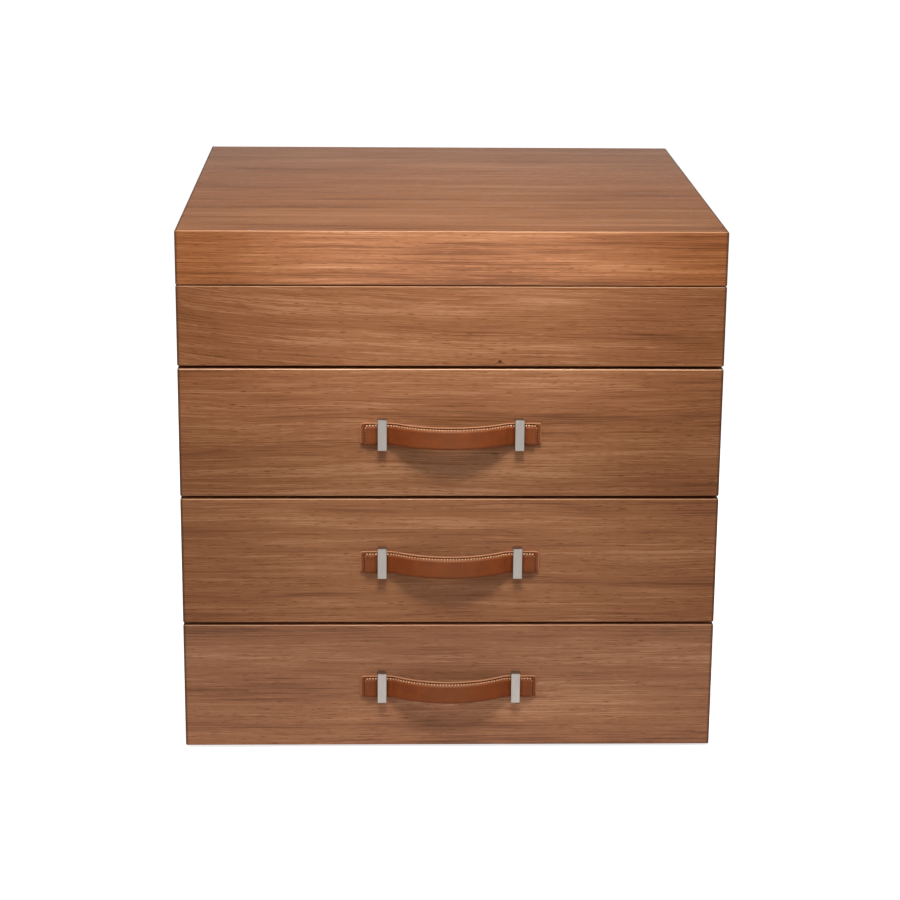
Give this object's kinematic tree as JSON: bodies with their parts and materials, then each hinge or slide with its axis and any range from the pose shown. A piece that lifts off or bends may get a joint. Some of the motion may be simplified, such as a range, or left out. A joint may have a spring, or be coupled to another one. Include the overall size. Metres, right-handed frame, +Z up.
{
  "type": "chest of drawers",
  "caption": "Cube-shaped walnut chest: a lift-up lid over a shallow compartment, and drawers below it with padded leather strap pulls held by flat metal loops.",
  "frame": {"origin": "middle of the footprint, pulls and hinge barrels included, on the surface that the chest stands on", "axes": "+X to the right as seen from the front, +Y to the back, +Z up"},
  "size_m": [0.38, 0.4038, 0.38],
  "materials": {
    "walnut": "satin-lacquered walnut veneer with horizontal grain",
    "drawer_wood": "oiled solid wood",
    "runner_wood": "waxed hardwood",
    "leather": "smooth cognac leather, stitched round the edge",
    "loop_metal": "satin nickel plate",
    "hinge_metal": "satin nickel plate",
    "screw_metal": "nickel-plated",
    "felt": "dense felt"
  },
  "bodies": {
    "case": {"case_left_side": "walnut", "case_right_side": "walnut", "case_bottom": "walnut", "case_back": "walnut", "compartment_floor": "walnut", "upper_front": "walnut", "upper_front_dowels": "runner_wood", "foot_pads": "felt", "lid_bumpers": "felt", "hinge_case_leaves": "hinge_metal", "hinge_case_screws": "screw_metal", "hinge_pins": "hinge_metal", "runner_screws": "screw_metal", "drawer_1_runners": "runner_wood", "drawer_2_runners": "runner_wood", "drawer_3_runners": "runner_wood"},
    "lid": {"lid_top": "walnut", "lid_front_rail": "walnut", "lid_back_rail": "walnut", "lid_left_rail": "walnut", "lid_right_rail": "walnut", "hinge_lid_leaves": "hinge_metal", "hinge_lid_screws": "screw_metal"},
    "drawer_1": {"drawer_1_front": "walnut", "drawer_1_inner_front": "drawer_wood", "drawer_1_left_side": "drawer_wood", "drawer_1_right_side": "drawer_wood", "drawer_1_back": "drawer_wood", "drawer_1_bottom": "drawer_wood", "drawer_1_front_screws": "screw_metal", "drawer_1_stop_pins": "screw_metal", "drawer_1_loops": "loop_metal", "drawer_1_loop_nuts": "screw_metal", "drawer_1_strap": "leather"},
    "drawer_2": {"drawer_2_front": "walnut", "drawer_2_inner_front": "drawer_wood", "drawer_2_left_side": "drawer_wood", "drawer_2_right_side": "drawer_wood", "drawer_2_back": "drawer_wood", "drawer_2_bottom": "drawer_wood", "drawer_2_front_screws": "screw_metal", "drawer_2_stop_pins": "screw_metal", "drawer_2_loops": "loop_metal", "drawer_2_loop_nuts": "screw_metal", "drawer_2_strap": "leather"},
    "drawer_3": {"drawer_3_front": "walnut", "drawer_3_inner_front": "drawer_wood", "drawer_3_left_side": "drawer_wood", "drawer_3_right_side": "drawer_wood", "drawer_3_back": "drawer_wood", "drawer_3_bottom": "drawer_wood", "drawer_3_front_screws": "screw_metal", "drawer_3_stop_pins": "screw_metal", "drawer_3_loops": "loop_metal", "drawer_3_loop_nuts": "screw_metal", "drawer_3_strap": "leather"}
  },
  "joints": [
    {"name": "lid_hinge", "type": "hinge", "parent": "case", "child": "lid", "pos_m": [0, 0.1989, 0.3418], "axis": [-1, 0, 0], "range_deg": [0, 95]},
    {"name": "drawer_1_slide", "type": "slide", "parent": "case", "child": "drawer_1", "axis": [0, -1, 0], "range_m": [0, 0.26]},
    {"name": "drawer_2_slide", "type": "slide", "parent": "case", "child": "drawer_2", "axis": [0, -1, 0], "range_m": [0, 0.26]},
    {"name": "drawer_3_slide", "type": "slide", "parent": "case", "child": "drawer_3", "axis": [0, -1, 0], "range_m": [0, 0.26]}
  ]
}
